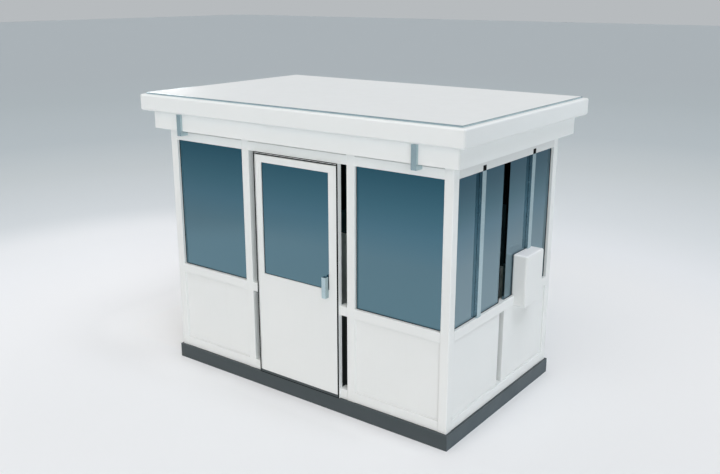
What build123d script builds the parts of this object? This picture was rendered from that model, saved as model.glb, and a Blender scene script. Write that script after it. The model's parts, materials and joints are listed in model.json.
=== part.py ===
from build123d import *
import os

os.makedirs("parts", exist_ok=True)

# A prefabricated guard booth. +X runs along the long front, +Y to the back and +Z up.
# The origin is on the floor, under the middle of the booth. All sizes are in millimetres.

# Plan
body_length = 3050.0
body_depth = 1808.0
post_size = 80.0
door_side_gap = 76.5

# Heights of the wall, from the base up
base_height = 136.0
bottom_rail_height = 93.0
lower_panel_height = 675.0
sill_rail_height = 84.0
window_height = 1208.0
header_rail_height = 79.0
vent_height = 29.0

# Base and floor
base_overhang = 20.0
deck_thickness = 20.0
joist_width = 50.0
joist_height = 90.0
joist_count = 4

# Wall fillings
panel_recess = 15.0
panel_thickness = 45.0
glass_recess = 29.0
glass_thickness = 14.0
frame_round = 4.0

# Right wall, with its sliding panes
slot_middle = -5.0
pane_gap = 94.0
panel_slot = 82.0
stud_lap = 14.0
bar_width = 60.0
bar_round = 3.0
guide_height = 44.0
guide_recess = 4.0

# Side cabinet
cabinet_width = 327.0
cabinet_projection = 108.0
cabinet_past_bar = 43.0
cabinet_drop = 93.0
cabinet_rise = 372.0
cabinet_round = 17.0

# Door and its frame
leaf_width = 893.0
leaf_thickness = 40.0
door_gap = 5.0
door_frame_width = 9.0
door_frame_depth = 48.0
door_head_height = 15.0
threshold_height = 26.0
head_lip = 6.0
cap_height = 4.0
seal_depth = 4.0
foot_seal_height = 8.0
hinge_stile = 72.0
lock_stile = 81.0
door_top_rail = 62.0
kick_height = 941.0
door_glass_recess = 12.0
hinge_round = 14.0

# Pivot pins
pin_radius = 5.0
pin_running_gap = 0.05
pin_length = 25.0
pin_end_gap = 2.0
collar_radius = 8.0
collar_gap = 0.3

# Door handle
handle_width = 42.0
handle_length = 184.0
handle_projection = 45.0
handle_wall = 7.0
handle_grip_depth = 26.0
handle_from_stile = 5.0
handle_above_sill = 27.0
handle_round = 2.0

# Eaves and roof
eaves_overhang = 100.0
eaves_height = 165.0
eaves_round = 15.0
ceiling_thickness = 30.0
roof_overhang = 183.0
roof_height = 146.0
roof_round = 18.0
sheet_inset = 45.0
sheet_thickness = 14.0
trim_width = 6.0

# Brackets on the front eaves
bracket_width = 50.0
bracket_thickness = 24.0
bracket_top_gap = 16.0
bracket_foot_height = 43.0
bracket_reach = 60.0
bracket_from_left = 254.0
bracket_from_right = 273.0
bracket_round = 3.0

# Planes and levels that follow
half_length = body_length / 2
half_depth = body_depth / 2
inner_length = half_length - post_size
inner_depth = half_depth - post_size
panel_foot = base_height + bottom_rail_height
panel_top = panel_foot + lower_panel_height
sill_top = panel_top + sill_rail_height
window_top = sill_top + window_height
header_top = window_top + header_rail_height
wall_top = header_top + vent_height
eaves_top = wall_top + eaves_height
roof_top = eaves_top + roof_height

# The door's own planes. Its frame stands flush with the base, in front of the posts.
door_face = -half_depth - base_overhang
leaf_half = leaf_width / 2
frame_inner = leaf_half + door_gap
frame_outer = frame_inner + door_frame_width
frame_back = door_face + door_frame_depth
frame_front = door_face + seal_depth
threshold_top = base_height + threshold_height
leaf_foot = threshold_top + door_gap
head_foot = window_top - door_head_height
leaf_top = head_foot - door_gap
hinge_x = -leaf_half + hinge_round
hinge_y = door_face + hinge_round
bay_half = frame_outer + door_side_gap
post_outer = bay_half + post_size


def block(x0, x1, y0, y1, z0, z1):
    """A box between two corners."""
    size = Box(x1 - x0, y1 - y0, z1 - z0)
    return Pos((x0 + x1) / 2, (y0 + y1) / 2, (z0 + z1) / 2) * size


def softened(shape, radius, axis=None):
    """The shape with all its edges rounded, or only those along one axis."""
    edges = shape.edges() if axis is None else shape.edges().filter_by(axis)
    return fillet(edges, radius)


def both_ends(shape):
    """The shape and its twin across the middle of the length."""
    return [shape, mirror(shape, about=Plane.YZ)]


def across(shapes):
    """The same shapes, moved to the opposite long wall."""
    return [mirror(shape, about=Plane.XZ) for shape in shapes]


def opposite_end(shapes):
    """The same shapes, moved to the opposite end wall."""
    return [mirror(shape, about=Plane.YZ) for shape in shapes]


def save(node, *shapes):
    export_step(Compound(children=list(shapes)) if len(shapes) > 1 else shapes[0], f"parts/{node}.step")


# Base: a ring of beams that stands proud of the walls, with the floor inside it

base_x = half_length + base_overhang
base_y = half_depth + base_overhang

front_beam = block(-base_x, base_x, -base_y, -inner_depth, 0, base_height)
end_beam = block(inner_length, base_x, -inner_depth, inner_depth, 0, base_height)
deck_foot = base_height - deck_thickness
floor_deck = block(-inner_length, inner_length, -inner_depth, inner_depth, deck_foot, base_height)

joist_pitch = 2 * inner_length / (joist_count + 1)
joists = []
for n in range(joist_count):
    joist_x = -inner_length + joist_pitch * (n + 1)
    joist_foot = deck_foot - joist_height
    joists.append(block(joist_x - joist_width / 2, joist_x + joist_width / 2,
                        -inner_depth, inner_depth, joist_foot, deck_foot))

save("base_long_beams", front_beam, *across([front_beam]))
save("base_end_beams", *both_ends(end_beam))
save("floor_deck", floor_deck)
save("floor_joists", *joists)


# Posts: four at the corners and two more in each long wall

corner_post = softened(block(inner_length, half_length, -half_depth, -inner_depth, base_height, wall_top),
                       frame_round, Axis.Z)
wall_post = softened(block(bay_half, post_outer, -half_depth, -inner_depth, base_height, wall_top),
                     frame_round, Axis.Z)

save("corner_posts", *both_ends(corner_post), *across(both_ends(corner_post)))
save("front_posts", *both_ends(wall_post))
save("back_posts", *across(both_ends(wall_post)))


# Long walls: rails between the posts, panels below and glass above

def long_rail(x0, x1, z0, z1):
    """A rail of the full wall thickness, with rounded long edges."""
    return softened(block(x0, x1, -half_depth, -inner_depth, z0, z1), frame_round, Axis.X)


def long_panel(x0, x1):
    """A closed panel between the bottom rail and the sill rail."""
    outer = -half_depth + panel_recess
    return block(x0, x1, outer, outer + panel_thickness, panel_foot, panel_top)


def long_window(x0, x1):
    """A pane between the sill rail and the header rail."""
    outer = -half_depth + glass_recess
    return block(x0, x1, outer, outer + glass_thickness, sill_top, window_top)


bottom_rail = long_rail(post_outer, inner_length, base_height, panel_foot)
sill_rail = long_rail(post_outer, inner_length, panel_top, sill_top)
header_rail = long_rail(post_outer, inner_length, window_top, header_top)
bottom_stub = long_rail(frame_outer, bay_half, base_height, panel_foot)
sill_stub = long_rail(frame_outer, bay_half, panel_top, sill_top)
bay_header = long_rail(-bay_half, bay_half, window_top, header_top)
bay_bottom = long_rail(-bay_half, bay_half, base_height, panel_foot)
bay_sill = long_rail(-bay_half, bay_half, panel_top, sill_top)
side_panel = long_panel(post_outer, inner_length)
bay_panel = long_panel(-bay_half, bay_half)
side_window = long_window(post_outer, inner_length)
bay_window = long_window(-bay_half, bay_half)

save("front_bottom_rails", *both_ends(bottom_rail), *both_ends(bottom_stub))
save("front_sill_rails", *both_ends(sill_rail), *both_ends(sill_stub))
save("front_header_rails", *both_ends(header_rail), bay_header)
save("front_panels", *both_ends(side_panel))
save("front_windows", *both_ends(side_window))

save("back_bottom_rails", *across(both_ends(bottom_rail)), *across([bay_bottom]))
save("back_sill_rails", *across(both_ends(sill_rail)), *across([bay_sill]))
save("back_header_rails", *across(both_ends(header_rail)), *across([bay_header]))
save("back_panels", *across(both_ends(side_panel)), *across([bay_panel]))
save("back_windows", *across(both_ends(side_window)), *across([bay_window]))


# End walls: the right one has two panes with a slot between them, the left one a middle post

def end_rail(z0, z1):
    """A rail of the full wall thickness between two corner posts."""
    rail = block(inner_length, half_length, -inner_depth, inner_depth, z0, z1)
    return softened(rail, frame_round, Axis.Y)


def end_panel(y0, y1):
    """A closed panel in an end wall."""
    outer = half_length - panel_recess
    return block(outer - panel_thickness, outer, y0, y1, panel_foot, panel_top)


def end_window(y0, y1):
    """A pane in an end wall."""
    outer = half_length - glass_recess
    return block(outer - glass_thickness, outer, y0, y1, sill_top, window_top)


end_bottom = end_rail(base_height, panel_foot)
end_sill = end_rail(panel_top, sill_top)
end_header = end_rail(window_top, wall_top)

near_pane_edge = slot_middle - pane_gap / 2
far_pane_edge = slot_middle + pane_gap / 2
near_panel_edge = slot_middle - panel_slot / 2
far_panel_edge = slot_middle + panel_slot / 2
near_pane_middle = (near_pane_edge - inner_depth) / 2
far_pane_middle = (far_pane_edge + inner_depth) / 2
glass_plane = half_length - glass_recess
panel_back = half_length - panel_recess - panel_thickness

bars = []
guides = []
notches = []
guide_top = window_top + guide_height
guide_face = half_length - guide_recess
cabinet_back = far_pane_middle + bar_width / 2 + cabinet_past_bar
cabinet_front = cabinet_back - cabinet_width
cabinet_top = sill_top + cabinet_rise
for middle, foot in ((near_pane_middle, sill_top), (far_pane_middle, cabinet_top)):
    bar_low = middle - bar_width / 2
    bar_high = middle + bar_width / 2
    bar = block(glass_plane, half_length, bar_low, bar_high, foot, window_top)
    bars.append(softened(bar, bar_round, Axis.Z))
    notches.append(block(glass_plane, half_length, bar_low, bar_high, window_top, guide_top))
    guides.append(block(glass_plane, guide_face, bar_low, bar_high, window_top, guide_top))

right_header = end_header - notches[0] - notches[1]
mid_stud = block(inner_length, panel_back, near_panel_edge - stud_lap, far_panel_edge + stud_lap,
                 panel_foot, panel_top)

save("right_rails", end_bottom, end_sill, right_header)
save("right_panels", end_panel(-inner_depth, near_panel_edge), end_panel(far_panel_edge, inner_depth))
save("right_mid_stud", mid_stud)
save("right_windows", end_window(-inner_depth, near_pane_edge), end_window(far_pane_edge, inner_depth))
save("window_bars", *bars)
save("guide_blocks", *guides)

post_half = post_size / 2
left_bottom = block(inner_length, half_length, -post_half, post_half, panel_foot, panel_top)
left_upper = block(inner_length, half_length, -post_half, post_half, sill_top, window_top)
left_posts = [softened(piece, frame_round, Axis.Z) for piece in (left_bottom, left_upper)]

left_panels = [end_panel(-inner_depth, -post_half), end_panel(post_half, inner_depth)]
left_windows = [end_window(-inner_depth, -post_half), end_window(post_half, inner_depth)]

save("left_rails", *opposite_end([end_bottom, end_sill, end_header]))
save("left_mid_posts", *opposite_end(left_posts))
save("left_panels", *opposite_end(left_panels))
save("left_windows", *opposite_end(left_windows))


# Side cabinet: it hangs on the sill rail, and its upper part reaches back to the glass

cabinet_foot = sill_top - cabinet_drop
cabinet_face = half_length + cabinet_projection
cabinet_body = block(glass_plane, cabinet_face, cabinet_front, cabinet_back, cabinet_foot, cabinet_top)
cabinet_body = softened(cabinet_body, cabinet_round)
rail_space = block(inner_length, half_length, cabinet_front, cabinet_back, cabinet_foot, sill_top)

save("side_cabinet", cabinet_body - rail_space)


# Door frame: two jambs with a head and a threshold between them. The head carries a cap in front of the
# header rail. Seals face the jambs and the cap, and lie under the lips of the head and the threshold.
# A pin stands at each end of the hinge.

head_lip_foot = window_top - head_lip
threshold_lip_foot = base_height + foot_seal_height
cap_top = window_top + cap_height
jamb = block(frame_inner, frame_outer, frame_front, frame_back, base_height, window_top)
head = block(-frame_inner, frame_inner, frame_front, frame_back, head_foot, window_top)
head += block(-frame_inner, frame_inner, door_face, frame_front, head_lip_foot, window_top)
head += block(-frame_outer, frame_outer, frame_front, -half_depth, window_top, cap_top)
threshold = block(-frame_inner, frame_inner, frame_front, frame_back, base_height, threshold_top)
threshold += block(-frame_inner, frame_inner, door_face, frame_front, threshold_lip_foot, threshold_top)
side_seal = block(frame_inner, frame_outer, door_face, frame_front, base_height, window_top)
upper_head_seal = block(-frame_outer, frame_outer, door_face, frame_front, window_top, cap_top)
lower_head_seal = block(-frame_inner, frame_inner, door_face, frame_front, head_foot, head_lip_foot)
foot_seal = block(-frame_inner, frame_inner, door_face, frame_front, base_height, threshold_lip_foot)

save("door_jambs", *both_ends(jamb))
save("door_head", head)
save("door_threshold", threshold)
save("door_side_seals", *both_ends(side_seal))
save("door_end_seals", upper_head_seal, lower_head_seal, foot_seal)


def hinge_pin(z0, z1, radius):
    """A round pin on the hinge line."""
    return Pos(hinge_x, hinge_y, (z0 + z1) / 2) * Cylinder(radius, z1 - z0)


lower_pin = hinge_pin(threshold_top, leaf_foot + pin_length, pin_radius)
lower_pin += hinge_pin(threshold_top, leaf_foot - collar_gap, collar_radius)
upper_pin = hinge_pin(leaf_top - pin_length, head_foot, pin_radius)

save("door_pivot_pins", lower_pin, upper_pin)


# Door leaf: one flush leaf, rounded about the hinge line, with a pane in its upper half

hole_radius = pin_radius + pin_running_gap
hole_length = pin_length + pin_end_gap
glass_left = -leaf_half + hinge_stile
glass_right = leaf_half - lock_stile
glass_foot = leaf_foot + kick_height
glass_head = leaf_top - door_top_rail
door_glass_front = door_face + door_glass_recess

leaf = block(-leaf_half, leaf_half, door_face, door_face + leaf_thickness, leaf_foot, leaf_top)
heel = leaf.edges().filter_by(Axis.Z).group_by(Axis.X)[0].sort_by(Axis.Y)[0]
leaf = fillet(heel, hinge_round)
leaf -= block(glass_left, glass_right, door_face, door_face + leaf_thickness, glass_foot, glass_head)
leaf -= hinge_pin(leaf_foot, leaf_foot + hole_length, hole_radius)
leaf -= hinge_pin(leaf_top - hole_length, leaf_top, hole_radius)
door_glass = block(glass_left, glass_right, door_glass_front, door_glass_front + glass_thickness,
                   glass_foot, glass_head)

save("door_leaf", leaf)
save("door_glass", door_glass)


# Door handle: a square pull, open to the fingers on the side away from the lock edge

handle_level = glass_foot + handle_above_sill
handle_right = glass_right - handle_from_stile
handle_left = handle_right - handle_width
handle_foot = handle_level - handle_length / 2
handle_top = handle_level + handle_length / 2
handle_front = door_face - handle_projection

handle = block(handle_left, handle_right, handle_front, door_face, handle_foot, handle_top)
handle = softened(handle, handle_round, Axis.Z)
handle -= block(handle_left, handle_left + handle_grip_depth, handle_front + handle_wall,
                door_face - handle_wall, handle_foot + handle_wall, handle_top - handle_wall)

save("door_handle", handle)


# Eaves: a ring of boards on the posts, with the ceiling inside it

eaves_x = half_length + eaves_overhang
eaves_y = half_depth + eaves_overhang

front_board = block(-eaves_x, eaves_x, -eaves_y, -inner_depth, wall_top, eaves_top)
front_corners = front_board.edges().filter_by(Axis.Z).group_by(Axis.Y)[0]
front_board = fillet(front_corners, eaves_round)
end_board = block(inner_length, eaves_x, -inner_depth, inner_depth, wall_top, eaves_top)
ceiling_top = wall_top + ceiling_thickness
ceiling = block(-inner_length, inner_length, -inner_depth, inner_depth, wall_top, ceiling_top)

save("eaves_long_boards", front_board, *across([front_board]))
save("eaves_end_boards", *both_ends(end_board))
save("ceiling_panel", ceiling)


# Roof: a rounded cap, with a raised sheet on it inside an edge trim

roof_x = half_length + roof_overhang
roof_y = half_depth + roof_overhang
trim_x = roof_x - sheet_inset
trim_y = roof_y - sheet_inset
sheet_x = trim_x - trim_width
sheet_y = trim_y - trim_width
sheet_top = roof_top + sheet_thickness

roof_cap = softened(block(-roof_x, roof_x, -roof_y, roof_y, eaves_top, roof_top), roof_round)
roof_sheet = block(-sheet_x, sheet_x, -sheet_y, sheet_y, roof_top, sheet_top)
long_trim = block(-trim_x, trim_x, -trim_y, -sheet_y, roof_top, sheet_top)
end_trim = block(sheet_x, trim_x, -sheet_y, sheet_y, roof_top, sheet_top)

save("roof_cap", roof_cap)
save("roof_sheet", roof_sheet)
save("roof_long_trims", long_trim, *across([long_trim]))
save("roof_end_trims", *both_ends(end_trim))


# Brackets: each strap lies on the eaves board and turns under it at the foot

def eaves_bracket(middle):
    """A strap on the front of the eaves, with a foot that reaches back below them."""
    left = middle - bracket_width / 2
    right = middle + bracket_width / 2
    face = -eaves_y - bracket_thickness
    foot_level = wall_top - bracket_foot_height
    bracket = block(left, right, face, -eaves_y, foot_level, eaves_top - bracket_top_gap)
    bracket += block(left, right, face, -eaves_y + bracket_reach, foot_level, wall_top)
    return softened(bracket, bracket_round, Axis.Z)


save("eaves_brackets", eaves_bracket(bracket_from_left - half_length),
     eaves_bracket(half_length - bracket_from_right))
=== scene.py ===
import json
import math

import bmesh
import bpy
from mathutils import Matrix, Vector


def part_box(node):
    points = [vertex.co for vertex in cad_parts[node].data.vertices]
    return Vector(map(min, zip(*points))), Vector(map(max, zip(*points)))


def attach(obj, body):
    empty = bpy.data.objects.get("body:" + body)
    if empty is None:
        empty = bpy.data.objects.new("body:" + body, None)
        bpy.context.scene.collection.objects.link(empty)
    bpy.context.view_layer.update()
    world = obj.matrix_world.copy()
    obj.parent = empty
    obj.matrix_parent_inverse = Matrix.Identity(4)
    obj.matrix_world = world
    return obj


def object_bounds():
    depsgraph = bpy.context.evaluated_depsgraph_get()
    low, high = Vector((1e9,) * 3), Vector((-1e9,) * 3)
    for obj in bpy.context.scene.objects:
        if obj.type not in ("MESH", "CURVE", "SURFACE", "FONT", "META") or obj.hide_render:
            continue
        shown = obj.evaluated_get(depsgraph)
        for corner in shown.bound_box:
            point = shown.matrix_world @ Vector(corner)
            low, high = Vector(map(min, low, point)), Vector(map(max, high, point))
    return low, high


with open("model.json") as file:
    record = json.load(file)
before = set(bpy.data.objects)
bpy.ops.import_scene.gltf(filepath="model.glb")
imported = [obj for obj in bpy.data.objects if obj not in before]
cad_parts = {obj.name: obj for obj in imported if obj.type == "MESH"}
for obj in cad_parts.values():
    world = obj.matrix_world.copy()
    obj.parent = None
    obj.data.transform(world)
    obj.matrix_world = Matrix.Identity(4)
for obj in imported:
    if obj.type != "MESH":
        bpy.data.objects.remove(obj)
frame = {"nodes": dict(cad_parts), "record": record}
cadLow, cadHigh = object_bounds()
nodes = frame["nodes"]
print("booth frame loaded:", len(nodes), "nodes")


# small helpers for node trees
def feed(tree, socket, value):
    if isinstance(value, bpy.types.NodeSocket):
        tree.links.new(value, socket)
    elif value is not None:
        socket.default_value = value


def putNode(tree, kind, settings=None, inputs=None):
    node = tree.nodes.new(kind)
    for name, value in (settings or {}).items():
        setattr(node, name, value)
    for name, value in (inputs or {}).items():
        feed(tree, node.inputs[name], value)
    return node


def calc(tree, operation, first, second=None):
    node = putNode(tree, "ShaderNodeMath", {"operation": operation})
    for socket, value in zip(node.inputs, (first, second)):
        feed(tree, socket, value)
    return node.outputs[0]


def times(tree, first, second):
    return calc(tree, "MULTIPLY", first, second)


def remap(tree, value, fromLow, fromHigh, toLow, toHigh, smooth=False):
    curve = "SMOOTHSTEP" if smooth else "LINEAR"
    node = putNode(tree, "ShaderNodeMapRange", {"interpolation_type": curve})
    for socket, given in zip(node.inputs, (value, fromLow, fromHigh, toLow, toHigh)):
        feed(tree, socket, given)
    return node.outputs[0]


def mixColour(tree, share, first, second, blend="MIX"):
    node = putNode(tree, "ShaderNodeMix", {"data_type": "RGBA", "blend_type": blend})
    feed(tree, node.inputs[0], share)
    feed(tree, node.inputs[6], first)
    feed(tree, node.inputs[7], second)
    return node.outputs[2]


def colourStops(tree, value, stops):
    ramp = putNode(tree, "ShaderNodeValToRGB", None, {0: value})
    elements = ramp.color_ramp.elements
    for index, (position, colour) in enumerate(stops):
        stop = elements[index] if index < 2 else elements.new(position)
        stop.position = position
        stop.color = rgb(*colour)
    return ramp.outputs[0]


def noise(tree, place, scale, detail, roughness):
    node = putNode(tree, "ShaderNodeTexNoise", None,
                   {"Vector": place, "Scale": scale, "Detail": detail, "Roughness": roughness})
    return node.outputs[0]


def rgb(red, green, blue):
    return (red, green, blue, 1.0)


black = rgb(0.0, 0.0, 0.0)
white = rgb(1.0, 1.0, 1.0)


def shaderGroup(name, inputs, outputs):
    tree = bpy.data.node_groups.new(name, "ShaderNodeTree")
    for label, value in inputs.items():
        socket = tree.interface.new_socket(name=label, in_out="INPUT", socket_type="NodeSocketFloat")
        socket.default_value = value
    for label in outputs:
        tree.interface.new_socket(name=label, in_out="OUTPUT", socket_type="NodeSocketFloat")
    return tree, tree.nodes.new("NodeGroupInput").outputs, tree.nodes.new("NodeGroupOutput").inputs


def useGroup(tree, group, **inputs):
    node = tree.nodes.new("ShaderNodeGroup")
    node.node_tree = group
    for name, value in inputs.items():
        feed(tree, node.inputs[name], value)
    return node.outputs


def objectPlace(tree):
    return tree.nodes.new("ShaderNodeTexCoord").outputs["Object"]


def faceNormal(tree):
    return tree.nodes.new("ShaderNodeNewGeometry").outputs["Normal"]


def along(tree, vector, axis):  # one axis of a place or a normal
    return putNode(tree, "ShaderNodeSeparateXYZ", None, {0: vector}).outputs[axis]


def dot(tree, first, second):
    node = putNode(tree, "ShaderNodeVectorMath", {"operation": "DOT_PRODUCT"}, {0: first, 1: second})
    return node.outputs["Value"]


# effects that several finishes share
def makeCoatGrain():  # the fine skin of a sprayed coat, and its slow drift in tone
    sizes = {"peelScale": 320.0, "driftScale": 1.4}
    tree, given, result = shaderGroup("coatGrain", sizes, ("Height", "Drift"))
    place = objectPlace(tree)
    fine = noise(tree, place, given["peelScale"], 2.0, 0.45)
    slow = noise(tree, place, given["driftScale"], 3.0, 0.55)
    tree.links.new(fine, result["Height"])
    tree.links.new(slow, result["Drift"])
    return tree


def makeEdgeRub():  # where hands and tools rub the outer edges
    tree, given, result = shaderGroup("edgeRub", {"width": 0.002, "breakUp": 35.0}, ("Mask",))
    rounded = putNode(tree, "ShaderNodeBevel", {"samples": 4}, {"Radius": given["width"]}).outputs[0]
    edge = remap(tree, dot(tree, rounded, faceNormal(tree)), 0.995, 0.86, 0.0, 1.0)
    patchy = remap(tree, noise(tree, objectPlace(tree), given["breakUp"], 4.0, 0.6), 0.44, 0.66, 0.0, 1.0)
    tree.links.new(times(tree, edge, patchy), result["Mask"])
    return tree


def makeSettledDust():  # dust on ledges, and splash from the ground on the lowest part
    tree, given, result = shaderGroup("settledDust", {"splashTop": 0.5, "ledge": 1.0}, ("Mask",))
    place = objectPlace(tree)
    splash = remap(tree, along(tree, place, "Z"), 0.0, given["splashTop"], 1.0, 0.0, smooth=True)
    upward = along(tree, faceNormal(tree), "Z")
    ledge = times(tree, remap(tree, upward, 0.6, 0.95, 0.0, 1.0), given["ledge"])
    blotch = remap(tree, noise(tree, place, 9.0, 5.0, 0.62), 0.35, 0.75, 0.25, 1.0)
    both = calc(tree, "MAXIMUM", splash, ledge)
    tree.links.new(times(tree, both, blotch), result["Mask"])
    return tree


def makeRainTrace():  # faint runs that rain leaves down an upright face
    tree, given, result = shaderGroup("rainTrace", {"spacing": 26.0}, ("Mask",))
    place = objectPlace(tree)
    stretch = putNode(tree, "ShaderNodeMapping", None, {"Vector": place, "Scale": (1.0, 1.0, 0.035)})
    runs = remap(tree, noise(tree, stretch.outputs[0], given["spacing"], 3.0, 0.6), 0.52, 0.72, 0.0, 1.0)
    broken = remap(tree, noise(tree, place, 1.7, 2.0, 0.5), 0.4, 0.62, 0.0, 1.0)
    tree.links.new(times(tree, runs, broken), result["Mask"])
    return tree


coatGrain = makeCoatGrain()
edgeRub = makeEdgeRub()
settledDust = makeSettledDust()
rainTrace = makeRainTrace()


def newMaterial(name):
    material = bpy.data.materials.new(name)
    material.use_nodes = True
    tree = material.node_tree
    return material, tree, tree.nodes["Principled BSDF"]


def bumpOn(tree, shader, height, distance, strength):
    node = putNode(tree, "ShaderNodeBump", None,
                   {"Strength": strength, "Distance": distance, "Height": height})
    feed(tree, shader.inputs["Normal"], node.outputs[0])


# finishes of the booth
wallCoat = {
    "colour": (0.782, 0.799, 0.790),
    "drift": (0.768, 0.788, 0.780),
    "ledge": (0.84, 0.86, 0.85),  # painted light: faces that look up are paler
    "paintedTopLightHeights": (0.6, 0.8),
    # painted light: the walls pale towards the eaves, offsetting the shade under them
    "paintedEavesTone": (0.84, 0.86, 0.85),
    "paintedEavesHeights": (1.1, 2.18),  # the heights between which the painted tone under the eaves comes in
    "splashTop": 0.55,
    "ledgeDust": 0.5,
    "dust": (0.52, 0.50, 0.45),
    "dustShare": 0.05,
    "rubbed": (0.60, 0.62, 0.62),
    "rubbedShare": 0.12,
    "rubWidth": 0.0015,
    "roughness": (0.34, 0.44),
    "peelDepth": 0.00006,
}

roofCoat = {
    **wallCoat,
    "colour": (0.847, 0.867, 0.859),
    "drift": (0.831, 0.855, 0.849),
    "ledge": (0.86, 0.88, 0.87),
    "paintedEavesTone": (0.86, 0.88, 0.87),
    "paintedEavesHeights": (9.0, 9.1),  # higher than the booth, so the roof keeps one tone
    "paintedGableShade": 0.09,  # painted shade: how much darker the right-hand end is at its front corner
    "paintedCornerShade": 0.20,  # painted shade that takes the gleam off the rounded front corner
    "splashTop": 0.0,
    "ledgeDust": 1.0,
    "dust": (0.50, 0.49, 0.46),
    "roughness": (0.30, 0.42),
}

panelCoat = {**wallCoat, "splashTop": 0.70}
# painted light: the eaves boards are a paler copy of the roof coat, offsetting their shade
eavesPaintedLightCoat = {
    **roofCoat,
    "colour": (0.885, 0.905, 0.897),
    "drift": (0.868, 0.892, 0.886),
    "paintedGableShade": 0.05,
}
# painted shade: the end rails darken just under the eaves
endRailCoat = {**wallCoat, "paintedEavesTone": (0.70, 0.715, 0.71), "paintedEavesHeights": (2.17, 2.28)}
cabinetCoat = {
    **panelCoat,
    # painted light: the cabinet's top is near white, offsetting the eaves' shade
    "ledge": (0.98, 0.985, 0.985),
    "paintedCornerShade": 0.13,
    "paintedFootShade": (1.15, 0.90, 0.11),  # painted shade: from this height down to this one, and the share there
}
# painted shade colour for the edge faces in the right wall's slot and the far corner posts' reveal
paintedCutShadeColour = (0.10, 0.105, 0.105)
slotPanelCoat = {**panelCoat, "paintedCutShade": {"node": "right_panels", "behind": 0.0, "share": (0.62, 0.22)}}
postCoat = {**wallCoat, "paintedCutShade": {"node": "corner_posts", "behind": 0.7, "share": (0.16, 0.16)}}
paintedCutShadeDepth = 0.06


def paintedCutShadeMask(tree, normal, paintedCutShade):  # painted shade on a panel's or post's edge face that looks to the front, darker deeper in
    place = objectPlace(tree)
    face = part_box(paintedCutShade["node"])[1].x
    share = remap(tree, along(tree, place, "X"), face - paintedCutShadeDepth, face, *paintedCutShade["share"])
    behind = calc(tree, "GREATER_THAN", along(tree, place, "Y"), paintedCutShade["behind"])
    frontward = remap(tree, along(tree, normal, "Y"), -0.5, -0.9, 0.0, 1.0)
    return times(tree, times(tree, share, behind), frontward)


def paintedCoatShades(tree, normal, place, looks):  # painted shade: how far a gable, a foot and a front corner are darker
    shades = []
    if "paintedGableShade" in looks:
        endward = remap(tree, along(tree, normal, "X"), 0.8, 0.95, 0.0, 1.0)
        nearer = remap(tree, along(tree, place, "Y"), -1.0, 0.9, looks["paintedGableShade"], 0.0)
        shades.append(times(tree, endward, nearer))
    if "paintedFootShade" in looks:
        top, foot, share = looks["paintedFootShade"]
        frontward = remap(tree, along(tree, normal, "Y"), -0.5, -0.9, 0.0, 1.0)
        lower = remap(tree, along(tree, place, "Z"), top, foot, 0.0, share)
        shades.append(times(tree, frontward, lower))
    if "paintedCornerShade" in looks:
        between = times(tree, along(tree, normal, "X"), times(tree, along(tree, normal, "Y"), -1.0))
        shades.append(remap(tree, between, 0.1, 0.45, 0.0, looks["paintedCornerShade"]))
    return shades


def makeWhiteCoat(name, looks):
    material, tree, shader = newMaterial(name)
    place = objectPlace(tree)
    normal = faceNormal(tree)
    grain = useGroup(tree, coatGrain)
    dust = useGroup(tree, settledDust, splashTop=looks["splashTop"], ledge=looks["ledgeDust"])["Mask"]
    runs = useGroup(tree, rainTrace)["Mask"]
    worn = useGroup(tree, edgeRub, width=looks["rubWidth"])["Mask"]
    height = along(tree, place, "Z")
    drift = remap(tree, grain["Drift"], 0.35, 0.65, 0.0, 1.0)
    tone = mixColour(tree, drift, rgb(*looks["colour"]), rgb(*looks["drift"]))
    # painted tone under the eaves: painted light on the walls, painted shade on the end rails
    paintedEavesShare = remap(tree, height, *looks["paintedEavesHeights"], 0.0, 1.0, smooth=True)
    tone = mixColour(tree, paintedEavesShare, tone, rgb(*looks["paintedEavesTone"]))
    # painted light: faces that look up, above the given heights, take the paler tone
    upward = remap(tree, along(tree, normal, "Z"), 0.5, 0.9, 0.0, 1.0)
    upward = times(tree, upward, remap(tree, height, *looks["paintedTopLightHeights"], 0.0, 1.0))
    tone = mixColour(tree, upward, tone, rgb(*looks["ledge"]))
    dirt = times(tree, calc(tree, "ADD", dust, times(tree, runs, 0.5)), looks["dustShare"])
    tone = mixColour(tree, dirt, tone, rgb(*looks["dust"]))
    tone = mixColour(tree, times(tree, worn, looks["rubbedShare"]), tone, rgb(*looks["rubbed"]))
    # painted shade on gables, feet and front corners
    for shade in paintedCoatShades(tree, normal, place, looks):
        tone = mixColour(tree, shade, tone, black)
    # painted shade on edge faces deep in a slot or reveal
    if "paintedCutShade" in looks:
        tone = mixColour(tree, paintedCutShadeMask(tree, normal, looks["paintedCutShade"]), tone, rgb(*paintedCutShadeColour))
    feed(tree, shader.inputs["Base Color"], tone)
    rough = remap(tree, grain["Drift"], 0.3, 0.7, *looks["roughness"])
    feed(tree, shader.inputs["Roughness"], calc(tree, "ADD", rough, times(tree, dust, 0.15)))
    bumpOn(tree, shader, grain["Height"], looks["peelDepth"], 0.6)
    return material


frameWhite = makeWhiteCoat("frameWhiteCoat", wallCoat)
panelWhite = makeWhiteCoat("panelWhiteCoat", panelCoat)
roofWhite = makeWhiteCoat("roofWhiteCoat", roofCoat)
eavesPaintedLightWhite = makeWhiteCoat("eavesPaintedLightMaterial", eavesPaintedLightCoat)
slotPanelWhite = makeWhiteCoat("slotPanelCoat", slotPanelCoat)
postWhite = makeWhiteCoat("cornerPostCoat", postCoat)
cabinetWhite = makeWhiteCoat("cabinetCoat", cabinetCoat)
endRailWhite = makeWhiteCoat("endRailCoat", endRailCoat)

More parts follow.
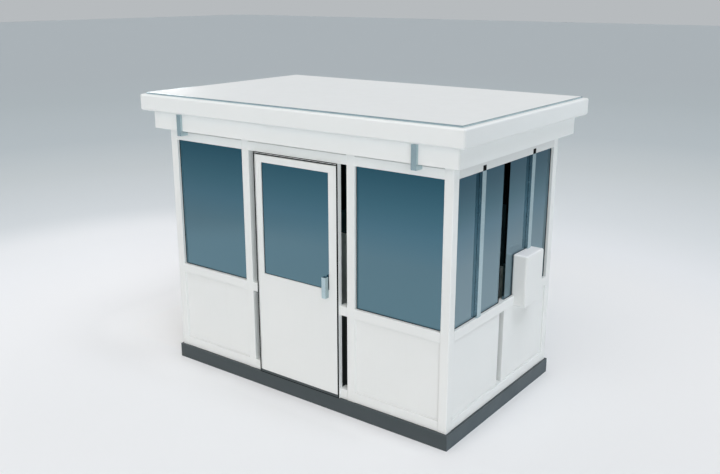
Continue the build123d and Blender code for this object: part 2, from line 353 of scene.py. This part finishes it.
glassLooks = {
    "tint": (0.132, 0.236, 0.287),
    "paintedGlassShade": (  # share of the pane's height, and how the painted shade dims the tint there, standing in for the darker reflection near the top
        (0.39, (0.97, 0.98, 0.98)),
        (0.61, (0.77, 0.92, 0.985)),
        (0.76, (0.60, 0.82, 0.885)),
        (0.91, (0.45, 0.69, 0.77)),
        (1.0, (0.36, 0.60, 0.68)),
    ),
    "paintedEndTint": (0.187, 0.288, 0.339),  # painted reflection: the panes of the two ends get a paler tint for how they catch the light
    "paintedEndGlassShade": (
        (0.0, (1.0, 1.0, 1.0)),
        (0.39, (0.93, 0.943, 0.941)),
        (0.61, (0.67, 0.82, 0.886)),
        (0.76, (0.41, 0.615, 0.678)),
        (0.91, (0.26, 0.443, 0.517)),
        (1.0, (0.197, 0.385, 0.475)),
    ),
    "insideShare": 0.5,  # how much of the gleam the inner face keeps
    "glanceShare": 0.1,  # how far the tint pales at a slant
    "glancePower": 2.5,
    "roughness": (0.025, 0.05),
    "waveDepth": 0.00004,
}


def makeTintedGlass(name, tint, paintedShadeStops):
    material, tree, shader = newMaterial(name)
    place = objectPlace(tree)
    paneLow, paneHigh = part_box("front_windows")
    height = remap(tree, along(tree, place, "Z"), paneLow.z, paneHigh.z, 0.0, 1.0)
    # painted reflection shade: the pane darkens towards its top
    paintedGlassShade = colourStops(tree, height, paintedShadeStops)
    facing = putNode(tree, "ShaderNodeLayerWeight", None, {"Blend": 0.5}).outputs["Facing"]
    glance = times(tree, calc(tree, "POWER", facing, glassLooks["glancePower"]), glassLooks["glanceShare"])
    coated = mixColour(tree, glance, rgb(*tint), white)
    coated = mixColour(tree, 1.0, coated, paintedGlassShade, "MULTIPLY")
    outward = dot(tree, faceNormal(tree), place)
    inside = remap(tree, outward, -0.3, -0.1, 1.0 - glassLooks["insideShare"], 0.0)
    feed(tree, shader.inputs["Base Color"], mixColour(tree, inside, coated, black))
    shader.inputs["Metallic"].default_value = 1.0
    smear = noise(tree, place, 3.2, 4.0, 0.6)
    feed(tree, shader.inputs["Roughness"], remap(tree, smear, 0.35, 0.7, *glassLooks["roughness"]))
    bumpOn(tree, shader, noise(tree, place, 2.4, 1.0, 0.4), glassLooks["waveDepth"], 0.5)
    return material


trimLooks = {
    "colour": (0.52, 0.65, 0.69),
    "barColour": (0.475, 0.615, 0.665),
    "dull": (0.40, 0.50, 0.53),
    "rubbed": (0.62, 0.70, 0.73),
    "rubbedShare": 0.3,
    "rubWidth": 0.0012,
    "roughness": (0.16, 0.28),
    "brushDepth": 0.00003,
    "paintedBarTopShade": 0.12,  # painted shade: the bars darken a little towards the eaves
    "paintedHandleSideShade": 0.16,  # and painted shade on the pull's right-hand side
}


# the blue-grey metal of the bars, brackets, pull and roof edge
def makeSatinTrim(name, colour, paintedSideShade=0.0, paintedTopShade=0.0):
    material, tree, shader = newMaterial(name)
    place = objectPlace(tree)
    stretch = putNode(tree, "ShaderNodeMapping", None, {"Vector": place, "Scale": (900.0, 900.0, 12.0)})
    brush = noise(tree, stretch.outputs[0], 1.0, 3.0, 0.6)
    worn = useGroup(tree, edgeRub, width=trimLooks["rubWidth"])["Mask"]
    dull = remap(tree, noise(tree, place, 6.0, 3.0, 0.5), 0.4, 0.75, 0.0, 0.5)
    tone = mixColour(tree, dull, rgb(*colour), rgb(*trimLooks["dull"]))
    # painted shade on right-hand faces and on the upper part under the eaves
    endward = remap(tree, along(tree, faceNormal(tree), "X"), 0.5, 0.9, 0.0, paintedSideShade)
    upper = remap(tree, along(tree, place, "Z"), 1.6, 2.2, 0.0, paintedTopShade)
    tone = mixColour(tree, calc(tree, "ADD", endward, upper), tone, black)
    tone = mixColour(tree, times(tree, worn, trimLooks["rubbedShare"]), tone, rgb(*trimLooks["rubbed"]))
    feed(tree, shader.inputs["Base Color"], tone)
    shader.inputs["Metallic"].default_value = 1.0
    feed(tree, shader.inputs["Roughness"], remap(tree, brush, 0.3, 0.7, *trimLooks["roughness"]))
    bumpOn(tree, shader, brush, trimLooks["brushDepth"], 0.4)
    return material


rubberLooks = {
    "colour": (0.0015, 0.002, 0.0022),
    "bloom": (0.006, 0.0063, 0.0066),
    "roughness": (0.6, 0.8),
    "gleam": 0.06,
    "grainDepth": 0.0001,
}


def makeBlackRubber():
    material, tree, shader = newMaterial("blackRubber")
    place = objectPlace(tree)
    bloom = remap(tree, noise(tree, place, 22.0, 4.0, 0.6), 0.45, 0.8, 0.0, 0.6)
    feed(tree, shader.inputs["Base Color"],
         mixColour(tree, bloom, rgb(*rubberLooks["colour"]), rgb(*rubberLooks["bloom"])))
    feed(tree, shader.inputs["Roughness"], remap(tree, bloom, 0.0, 0.6, *rubberLooks["roughness"]))
    shader.inputs["Specular IOR Level"].default_value = rubberLooks["gleam"]
    bumpOn(tree, shader, noise(tree, place, 600.0, 2.0, 0.5), rubberLooks["grainDepth"], 0.6)
    return material


baseLooks = {
    "colour": (0.037, 0.050, 0.055),
    "drift": (0.042, 0.056, 0.061),
    "paintedRightLight": (0.043, 0.066, 0.077),  # painted light: paler, bluer faces to the right
    "splashTop": 0.10,
    "ledgeDust": 0.8,
    "dust": (0.25, 0.29, 0.31),
    "dustShare": 0.06,
    "rubbed": (0.22, 0.24, 0.25),
    "rubbedShare": 0.25,
    "rubWidth": 0.003,
    "roughness": (0.38, 0.52),
    "grainDepth": 0.00012,
}


def makeCharcoalBase(looks):
    material, tree, shader = newMaterial("charcoalBase")
    grain = useGroup(tree, coatGrain, peelScale=260.0, driftScale=3.0)
    dust = useGroup(tree, settledDust, splashTop=looks["splashTop"], ledge=looks["ledgeDust"])["Mask"]
    worn = useGroup(tree, edgeRub, width=looks["rubWidth"], breakUp=18.0)["Mask"]
    tone = mixColour(tree, grain["Drift"], rgb(*looks["colour"]), rgb(*looks["drift"]))
    # painted light on the faces to the right
    endward = remap(tree, along(tree, faceNormal(tree), "X"), 0.5, 0.9, 0.0, 1.0)
    tone = mixColour(tree, endward, tone, rgb(*looks["paintedRightLight"]))
    tone = mixColour(tree, times(tree, dust, looks["dustShare"]), tone, rgb(*looks["dust"]))
    tone = mixColour(tree, times(tree, worn, looks["rubbedShare"]), tone, rgb(*looks["rubbed"]))
    feed(tree, shader.inputs["Base Color"], tone)
    feed(tree, shader.inputs["Roughness"], remap(tree, grain["Drift"], 0.3, 0.7, *looks["roughness"]))
    bumpOn(tree, shader, grain["Height"], looks["grainDepth"], 0.7)
    return material


floorLooks = {
    "colour": (0.060, 0.066, 0.064),
    "fleck": (0.20, 0.21, 0.20),
    "fleckShare": 0.7,
    "fleckScale": 130.0,
    "fleckDepth": 0.0002,
    "scuff": (0.15, 0.15, 0.14),
    "scuffShare": 0.15,
    "roughness": (0.45, 0.6),
}


def makeFloorSheet(looks):  # flecked sheet flooring
    material, tree, shader = newMaterial("floorSheet")
    place = objectPlace(tree)
    cells = putNode(tree, "ShaderNodeTexVoronoi", None, {"Vector": place, "Scale": looks["fleckScale"]})
    flecks = cells.outputs["Distance"]
    speck = remap(tree, flecks, 0.10, 0.22, 1.0, 0.0)
    scuff = remap(tree, noise(tree, place, 5.0, 5.0, 0.65), 0.45, 0.7, 0.0, 1.0)
    speck = times(tree, speck, looks["fleckShare"])
    tone = mixColour(tree, speck, rgb(*looks["colour"]), rgb(*looks["fleck"]))
    tone = mixColour(tree, times(tree, scuff, looks["scuffShare"]), tone, rgb(*looks["scuff"]))
    feed(tree, shader.inputs["Base Color"], tone)
    feed(tree, shader.inputs["Roughness"], remap(tree, scuff, 0.0, 1.0, *looks["roughness"]))
    bumpOn(tree, shader, flecks, looks["fleckDepth"], 0.3)
    return material


steelLooks = {
    "colour": (0.36, 0.37, 0.38),
    "oxide": (0.22, 0.20, 0.18),
    "roughness": (0.32, 0.5),
    "grainDepth": 0.0001,
}


def makeBareSteel():
    material, tree, shader = newMaterial("bareSteel")
    place = objectPlace(tree)
    oxide = remap(tree, noise(tree, place, 30.0, 5.0, 0.6), 0.5, 0.75, 0.0, 0.6)
    feed(tree, shader.inputs["Base Color"],
         mixColour(tree, oxide, rgb(*steelLooks["colour"]), rgb(*steelLooks["oxide"])))
    shader.inputs["Metallic"].default_value = 1.0
    feed(tree, shader.inputs["Roughness"], remap(tree, oxide, 0.0, 0.6, *steelLooks["roughness"]))
    bumpOn(tree, shader, noise(tree, place, 200.0, 3.0, 0.5), steelLooks["grainDepth"], 0.5)
    return material


sealantLooks = {
    "colour": (0.80, 0.82, 0.81),
    "soil": (0.72, 0.735, 0.73),
    "roughness": (0.5, 0.65),
    "grainDepth": 0.0004,
}


def makeSealant():  # the soft bead between a panel and its frame
    material, tree, shader = newMaterial("paleSealant")
    place = objectPlace(tree)
    soil = remap(tree, noise(tree, place, 14.0, 4.0, 0.6), 0.45, 0.75, 0.0, 0.7)
    feed(tree, shader.inputs["Base Color"],
         mixColour(tree, soil, rgb(*sealantLooks["colour"]), rgb(*sealantLooks["soil"])))
    feed(tree, shader.inputs["Roughness"], remap(tree, soil, 0.0, 0.7, *sealantLooks["roughness"]))
    bumpOn(tree, shader, noise(tree, place, 90.0, 2.0, 0.5), sealantLooks["grainDepth"], 0.5)
    return material


tintedGlass = makeTintedGlass("tintedGlass", glassLooks["tint"], glassLooks["paintedGlassShade"])
paintedEndGlass = makeTintedGlass("paintedEndGlass", glassLooks["paintedEndTint"], glassLooks["paintedEndGlassShade"])
satinTrim = makeSatinTrim("satinTrim", trimLooks["colour"])
barTrim = makeSatinTrim("barTrim", trimLooks["barColour"], paintedTopShade=trimLooks["paintedBarTopShade"])
handleTrim = makeSatinTrim("handleTrim", trimLooks["colour"], paintedSideShade=trimLooks["paintedHandleSideShade"])
blackRubber = makeBlackRubber()
charcoalBase = makeCharcoalBase(baseLooks)
floorSheet = makeFloorSheet(floorLooks)
bareSteel = makeBareSteel()
paleSealant = makeSealant()

finishes = {  # by the record's material slots
    "white_frame": frameWhite,
    "white_panel": panelWhite,
    "white_roof": roofWhite,
    "tinted_glass": tintedGlass,
    "grey_trim": satinTrim,
    "black_rubber": blackRubber,
    "dark_base": charcoalBase,
    "floor_sheet": floorSheet,
    "bare_steel": bareSteel,
}

nodeFinishes = {  # nodes whose finish differs from the rest of their slot
    "left_windows": paintedEndGlass,
    "right_windows": paintedEndGlass,
    "left_rails": endRailWhite,
    "right_rails": endRailWhite,
    "right_panels": slotPanelWhite,
    "corner_posts": postWhite,
    "eaves_long_boards": eavesPaintedLightWhite,
    "eaves_end_boards": eavesPaintedLightWhite,
    "side_cabinet": cabinetWhite,
    "window_bars": barTrim,
    "door_handle": handleTrim,
}

for part in frame["record"]["subparts"]:
    nodeObject = nodes[part["node"]]
    nodeObject.data.materials.clear()
    nodeObject.data.materials.append(nodeFinishes.get(part["node"], finishes[part["material_slot"]]))


# pieces that the solids leave to the scene: gaskets, sealant lines and door seals
weldDistance = 0.00002


def solidBoxes(name):  # the box of each separate solid in a node
    merged = bmesh.new()
    merged.from_mesh(nodes[name].data)
    bmesh.ops.remove_doubles(merged, verts=merged.verts, dist=weldDistance)
    waiting = set(merged.verts)
    boxes = []
    while waiting:
        queue = [waiting.pop()]
        found = []
        while queue:
            vertex = queue.pop()
            found.append(vertex.co.copy())
            for edge in vertex.link_edges:
                other = edge.other_vert(vertex)
                if other in waiting:
                    waiting.remove(other)
                    queue.append(other)
        low = Vector([min(point[axis] for point in found) for axis in range(3)])
        high = Vector([max(point[axis] for point in found) for axis in range(3)])
        boxes.append((low, high))
    merged.free()
    return sorted(boxes, key=lambda box: tuple(round(value, 4) for value in box[0]))


def frontLoop(low, high, across, level, inset):  # a rectangle on one face of a flat solid
    sideways = 1 - across
    corners = []
    for atEnd, atTop in ((0, 0), (1, 0), (1, 1), (0, 1)):
        corner = Vector((0.0, 0.0, 0.0))
        corner[across] = level
        corner[sideways] = high[sideways] - inset if atEnd else low[sideways] + inset
        corner.z = high.z - inset if atTop else low.z + inset
        corners.append(corner)
    return corners


def wireObject(name, paths, closed=True):
    points = []
    edges = []
    for path in paths:
        first = len(points)
        points += path
        edges += [(first + step, first + step + 1) for step in range(len(path) - 1)]
        if closed:
            edges.append((first + len(path) - 1, first))
    mesh = bpy.data.meshes.new(name)
    mesh.from_pydata(points, edges, [])
    holder = bpy.data.objects.new(name, mesh)
    bpy.context.collection.objects.link(holder)
    return holder


def geometryTree(name, inputs):
    tree = bpy.data.node_groups.new(name, "GeometryNodeTree")
    tree.interface.new_socket(name="Geometry", in_out="INPUT", socket_type="NodeSocketGeometry")
    for label, (kind, value) in inputs.items():
        socket = tree.interface.new_socket(name=label, in_out="INPUT", socket_type=kind)
        if value is not None:
            socket.default_value = value
    tree.interface.new_socket(name="Geometry", in_out="OUTPUT", socket_type="NodeSocketGeometry")
    return tree, tree.nodes.new("NodeGroupInput").outputs, tree.nodes.new("NodeGroupOutput").inputs


def makeBeadTree():  # sweeps a round bead along every wire, with turned corners
    tree, given, result = geometryTree("sweptBead", {
        "beadRadius": ("NodeSocketFloat", 0.003),
        "cornerRadius": ("NodeSocketFloat", 0.008),
        "sides": ("NodeSocketInt", 10),
        "finish": ("NodeSocketMaterial", None),
    })
    line = putNode(tree, "GeometryNodeMeshToCurve", None, {"Mesh": given["Geometry"]})
    turned = putNode(tree, "GeometryNodeFilletCurve", {"mode": "POLY"},
                     {"Curve": line.outputs[0], "Count": 4, "Radius": given["cornerRadius"],
                      "Limit Radius": True})
    section = putNode(tree, "GeometryNodeCurvePrimitiveCircle", {"mode": "RADIUS"},
                      {"Resolution": given["sides"], "Radius": given["beadRadius"]})
    swept = putNode(tree, "GeometryNodeCurveToMesh", None,
                    {"Curve": turned.outputs[0], "Profile Curve": section.outputs[0], "Fill Caps": True})
    smooth = putNode(tree, "GeometryNodeSetShadeSmooth", None, {"Geometry": swept.outputs[0]})
    solid = putNode(tree, "GeometryNodeRealizeInstances", None, {"Geometry": smooth.outputs[0]})
    coated = putNode(tree, "GeometryNodeSetMaterial", None,
                     {"Geometry": solid.outputs[0], "Material": given["finish"]})
    tree.links.new(coated.outputs[0], result[0])
    return tree


def grownPiece(name, holder, tree, values):  # the tree's result as a plain mesh
    modifier = holder.modifiers.new("grow", "NODES")
    modifier.node_group = tree
    for item in tree.interface.items_tree:
        if item.in_out == "INPUT" and item.name in values:
            modifier[item.identifier] = values[item.name]
    graph = bpy.context.evaluated_depsgraph_get()
    mesh = bpy.data.meshes.new_from_object(holder.evaluated_get(graph))
    mesh.name = name
    holder.modifiers.remove(modifier)
    bpy.data.objects.remove(holder)
    piece = bpy.data.objects.new(name, mesh)
    bpy.context.collection.objects.link(piece)
    return piece


sweptBead = makeBeadTree()


def makeBead(name, paths, looks, material, closed=False):
    return grownPiece(name, wireObject(name, paths, closed), sweptBead, {
        "beadRadius": looks["radius"],
        "cornerRadius": looks["corner"],
        "sides": looks["sides"],
        "finish": material,
    })


def flatAxis(low, high):  # the axis across a wall's panel or pane
    return 0 if high.x - low.x < high.y - low.y else 1


windowGasket = {"radius": 0.0018, "corner": 0.008, "sides": 10}
doorPaneGasket = {"radius": 0.0014, "corner": 0.006, "sides": 10}


def makeGasket(name, paneNodes, body, looks, material):
    radius = looks["radius"]
    loops = []
    for paneNode in paneNodes:  # one loop on each side of every pane, just inside its frame
        for low, high in solidBoxes(paneNode):
            across = flatAxis(low, high)
            for level in (low[across] - radius, high[across] + radius):
                loops.append(frontLoop(low, high, across, level, radius))
    piece = makeBead(name, loops, looks, material, closed=True)
    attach(piece, body)


makeGasket("windowGaskets", ("front_windows", "back_windows", "left_windows", "right_windows"), "booth",
           windowGasket, blackRubber)
makeGasket("doorGasket", ("door_glass",), "door", doorPaneGasket, blackRubber)
print("gaskets round the panes")

sealantLine = {"radius": 0.004, "corner": 0.005, "sides": 12}


def makePanelSealant():  # the soft line where each closed panel meets its frame, on the outside
    radius = sealantLine["radius"]
    lines = []
    for name in ("front_panels", "back_panels", "left_panels", "right_panels"):
        for low, high in solidBoxes(name):
            across = flatAxis(low, high)
            outward = high[across] if low[across] > 0.0 else low[across]
            level = outward + math.copysign(radius, outward)
            corners = frontLoop(low, high, across, level, radius)
            if name == "right_panels":  # these have a free edge at the slot
                lines += [corners[:2], corners[2:]]
            else:
                lines.append(corners + corners[:1])
    piece = makeBead("panelSealant", lines, sealantLine, paleSealant)
    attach(piece, "booth")


latchSeal = {"radius": 0.0021, "corner": 0.004, "sides": 12, "gap": 0.0007}


def makeLatchSeal():  # the bulb seal that the closing edge of the leaf meets
    radius = latchSeal["radius"]
    leafLow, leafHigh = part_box("door_leaf")
    x = leafHigh.x + radius + latchSeal["gap"]
    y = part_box("door_side_seals")[0].y + radius
    piece = makeBead("latchSeal", [[Vector((x, y, leafLow.z)), Vector((x, y, leafHigh.z))]],
                     latchSeal, blackRubber)
    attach(piece, "booth")


headSeal = {"radius": 0.0013, "corner": 0.003, "sides": 12, "drop": 0.0008}


def makeHeadSeal():  # the bulb seal along the lip over the leaf
    low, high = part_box("door_side_seals")
    y = low.y - headSeal["radius"]
    z = high.z - headSeal["drop"]
    piece = makeBead("headSeal", [[Vector((low.x, y, z)), Vector((high.x, y, z))]], headSeal, blackRubber)
    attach(piece, "booth")


makePanelSealant()
makeLatchSeal()
makeHeadSeal()
print("sealant lines and door seals laid")

# stage, light and camera
stageLooks = {
    "halfSize": 86.0,
    "paintedFalloffRings": (  # painted light falloff: distance from the booth's middle in metres, and the ground's colour there
        (0.0, (0.858, 0.864, 0.862)),
        (4.0, (0.840, 0.851, 0.856)),
        (5.1, (0.800, 0.825, 0.845)),
        (6.6, (0.705, 0.742, 0.760)),
        (8.3, (0.640, 0.680, 0.697)),
        (10.6, (0.570, 0.613, 0.625)),
        (14.3, (0.483, 0.534, 0.555)),
        (22.3, (0.437, 0.485, 0.503)),
        (30.0, (0.429, 0.471, 0.491)),
    ),
    # the colour the painted light lifts the ground towards
    "paintedLightColour": (0.97, 0.975, 0.98),
    "patch": {  # a paler pool of light to the left of the booth
        "middle": (-1.7, -0.2, 0.0),
        "edge": (4.3, 5.9),
        "across": (-1.0, -4.6),
        "paintedLift": 0.50,
    },
    "front": {"paintedLift": 0.80, "reach": 0.26, "ends": (0.7, 1.6)},  # painted light: paler ground along the front, lifting the booth's shadow there
    "paintedLeftLift": {  # and painted light next to the left end, lifting the shadow that falls there
        "across": (-3.7, -2.1),
        "behind": (-0.2, -1.7),
        "middle": 0.3,
        "depth": (1.8, 0.8),
        # painted light: the ground emits for the camera here, though it is no lamp
        "paintedGlow": 0.08,
        "paintedGlowColour": (0.90, 0.97, 1.0),
    },
}


def makeGround():
    mesh = bpy.data.meshes.new("ground")
    half = stageLooks["halfSize"]
    corners = [(-half, -half, 0.0), (half, -half, 0.0), (half, half, 0.0), (-half, half, 0.0)]
    mesh.from_pydata(corners, [], [(0, 1, 2, 3)])
    ground = bpy.data.objects.new("ground", mesh)
    bpy.context.collection.objects.link(ground)
    material, tree, shader = newMaterial("paleGround")
    place = objectPlace(tree)
    x, y = along(tree, place, "X"), along(tree, place, "Y")

    distance = putNode(tree, "ShaderNodeVectorMath", {"operation": "LENGTH"}, {0: place}).outputs["Value"]
    # painted light falloff in rings round the booth
    last = stageLooks["paintedFalloffRings"][-1][0]
    stops = [(radius / last, colour) for radius, colour in stageLooks["paintedFalloffRings"]]
    tone = colourStops(tree, calc(tree, "DIVIDE", distance, last), stops)

    patch = stageLooks["patch"]
    away = putNode(tree, "ShaderNodeVectorMath", {"operation": "DISTANCE"}, {0: place, 1: patch["middle"]})
    pool = times(tree, remap(tree, away.outputs["Value"], *patch["edge"], patch["paintedLift"], 0.0, smooth=True),
                 remap(tree, x, *patch["across"], 0.0, 1.0, smooth=True))

    # painted light lifting the contact shadow along the front
    front = stageLooks["front"]
    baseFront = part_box("base_long_beams")[0].y
    paintedFrontLift = times(tree, remap(tree, y, baseFront - front["reach"], baseFront, 0.0, front["paintedLift"]),
                      remap(tree, calc(tree, "ABSOLUTE", x), *front["ends"], 1.0, 0.0, smooth=True))
    paintedFrontLift = times(tree, paintedFrontLift, calc(tree, "LESS_THAN", y, 0.0))

    # painted light lifting the shadow next to the left end
    left = stageLooks["paintedLeftLift"]
    fromMiddle = calc(tree, "ABSOLUTE", calc(tree, "SUBTRACT", y, left["middle"]))
    paintedLeftLiftMask = times(tree, remap(tree, x, *left["across"], 0.0, 1.0, smooth=True),
                   remap(tree, fromMiddle, *left["depth"], 0.0, 1.0, smooth=True))
    paintedLeftLiftMask = times(tree, paintedLeftLiftMask, remap(tree, x, *left["behind"], 0.0, 1.0, smooth=True))

    paintedLift = calc(tree, "MAXIMUM", calc(tree, "MAXIMUM", pool, paintedFrontLift), paintedLeftLiftMask)
    feed(tree, shader.inputs["Base Color"], mixColour(tree, paintedLift, tone, rgb(*stageLooks["paintedLightColour"])))
    # painted light: the ground emits for the camera next to the left end
    seen = tree.nodes.new("ShaderNodeLightPath").outputs["Is Camera Ray"]
    shader.inputs["Emission Color"].default_value = rgb(*left["paintedGlowColour"])
    feed(tree, shader.inputs["Emission Strength"], times(tree, times(tree, paintedLeftLiftMask, left["paintedGlow"]), seen))
    shader.inputs["Roughness"].default_value = 1.0
    shader.inputs["Specular IOR Level"].default_value = 0.0
    mesh.materials.append(material)


makeGround()

lightLooks = {
    "backdrop": (0.474, 0.497, 0.515),
    "sky": (0.925, 0.960, 1.0),
    "skyLevel": 0.11,
    "suns": {  # colour, level, the side it comes from, and its spread in degrees
        "front": ((1.0, 0.86, 0.77), 0.238, (0.12, -0.85, 0.60), 60.0),
        "side": ((0.93, 0.98, 1.0), 0.547, (0.70, -0.70, 0.10), 40.0),
        "high": ((0.84, 0.90, 1.0), 0.376, (0.39, -0.10, 0.91), 34.0),
        "top": ((1.0, 0.99, 0.967), 0.347, (-0.10, 0.05, 1.0), 80.0),
    },
    "sunHeight": 5.0,
    "glint": {"watts": 30.0, "place": (-8.0, 4.1, 3.6), "target": (-1.4, -1.0), "size": (1.6, 1.0)},
    "cabin": {"watts": 2.7, "colour": (0.74, 1.0, 0.97), "size": (1.8, 0.9), "drop": 0.02},
}


def makeWorld():
    world = bpy.data.worlds.new("studio")
    bpy.context.scene.world = world
    world.use_nodes = True
    tree = world.node_tree
    tree.nodes.clear()
    seen = tree.nodes.new("ShaderNodeLightPath").outputs
    shown = calc(tree, "MAXIMUM", seen["Is Camera Ray"],
                 calc(tree, "MAXIMUM", seen["Is Glossy Ray"], seen["Is Transmission Ray"]))
    lit = putNode(tree, "ShaderNodeBackground", None,
                  {"Color": rgb(*lightLooks["sky"]), "Strength": lightLooks["skyLevel"]})
    backdrop = putNode(tree, "ShaderNodeBackground", None,
                       {"Color": rgb(*lightLooks["backdrop"]), "Strength": 1.0})
    both = tree.nodes.new("ShaderNodeMixShader")
    feed(tree, both.inputs[0], shown)
    feed(tree, both.inputs[1], lit.outputs[0])
    feed(tree, both.inputs[2], backdrop.outputs[0])
    tree.links.new(both.outputs[0], tree.nodes.new("ShaderNodeOutputWorld").inputs["Surface"])


def hangLamp(name, lamp, place, comesFrom):
    holder = bpy.data.objects.new(name, lamp)
    bpy.context.collection.objects.link(holder)
    holder.location = place
    holder.rotation_euler = Vector(comesFrom).to_track_quat("Z", "Y").to_euler()
    holder.visible_camera = False
    return holder


def makeSoftSun(name, colour, level, comesFrom, spread):
    lamp = bpy.data.lights.new(name + "Light", "SUN")
    lamp.color = colour
    lamp.energy = level * math.pi
    lamp.angle = math.radians(spread)
    place = (0.0, 0.0, lightLooks["sunHeight"])
    hangLamp(name + "Light", lamp, place, comesFrom).visible_glossy = False


def makePanelLamp(name, looks):
    lamp = bpy.data.lights.new(name, "AREA")
    lamp.energy = looks["watts"]
    lamp.shape = "RECTANGLE"
    lamp.size, lamp.size_y = looks["size"]
    return lamp


def makeGlint():  # shows only as a gleam along the glossy roof
    looks = lightLooks["glint"]
    place = Vector(looks["place"])
    target = Vector((*looks["target"], cadHigh.z))
    glint = hangLamp("roofGlint", makePanelLamp("roofGlint", looks), place, place - target)
    glint.visible_diffuse = False


def makeCabinLight():  # the little daylight that the dark panes let into the cabin
    looks = lightLooks["cabin"]
    lamp = makePanelLamp("cabinLight", looks)
    lamp.color = looks["colour"]
    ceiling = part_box("ceiling_panel")[0].z
    place = (0.0, 0.0, ceiling - looks["drop"])
    hangLamp("cabinLight", lamp, place, (0.0, 0.0, 1.0)).visible_glossy = False


makeWorld()
for sunName, sunLooks in lightLooks["suns"].items():
    makeSoftSun(sunName, *sunLooks)
makeGlint()
makeCabinLight()

viewLooks = {
    "place": (4.5681, -6.1231, 3.5319),
    "turn": 0.6411,
    "down": 0.28496,
    "lens": 42.2585,
    "sensor": 36.0,
    "reach": 400.0,
}

cameraData = bpy.data.cameras.new("studioCamera")
camera = bpy.data.objects.new("studioCamera", cameraData)
bpy.context.collection.objects.link(camera)
camera.location = viewLooks["place"]
camera.rotation_euler = (math.pi / 2 - viewLooks["down"], 0.0, viewLooks["turn"])
cameraData.lens = viewLooks["lens"]
cameraData.sensor_width = viewLooks["sensor"]
cameraData.clip_end = viewLooks["reach"]
bpy.context.scene.camera = camera
bpy.context.scene.view_settings.view_transform = "Standard"
print("stage, light and camera set")
